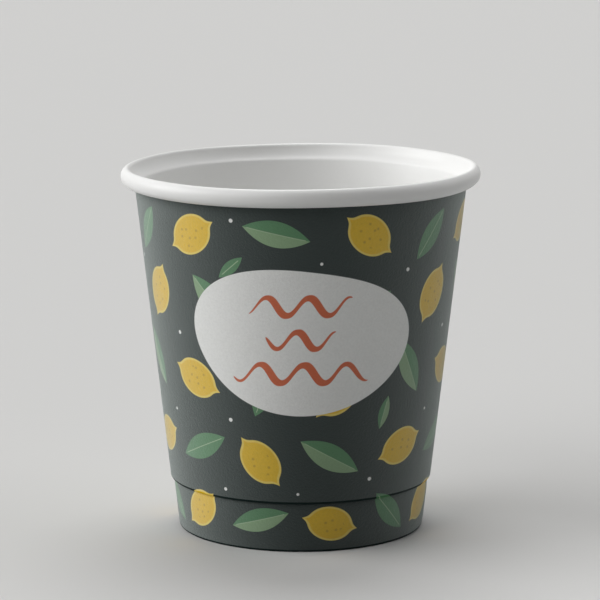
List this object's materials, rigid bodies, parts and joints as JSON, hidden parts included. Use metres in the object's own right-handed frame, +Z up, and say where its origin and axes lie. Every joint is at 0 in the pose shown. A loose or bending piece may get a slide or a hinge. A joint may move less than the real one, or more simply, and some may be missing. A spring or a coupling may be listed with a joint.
{
  "type": "paper cup",
  "caption": "Small insulated paper cup with a tapered inner wall, rolled rim and hemmed foot, a printed paper wrap round an air gap and a recessed bottom, for hot drinks.",
  "frame": {"origin": "on the cup's axis, at the level of the surface that it stands on", "axes": "+Z up along the cup's axis, -Y towards the front of the print, +X to the right of it"},
  "size_m": [0.062, 0.062, 0.0632],
  "materials": {
    "white_board": "smooth white coated board, printed dark on the outside of the foot",
    "bottom_board": "smooth white coated board",
    "printed_wrap": "dark slate print with a satin varnish"
  },
  "bodies": {
    "root": {"inner_wall": "white_board", "bottom_disc": "bottom_board", "outer_wrap": "printed_wrap"}
  },
  "joints": []
}
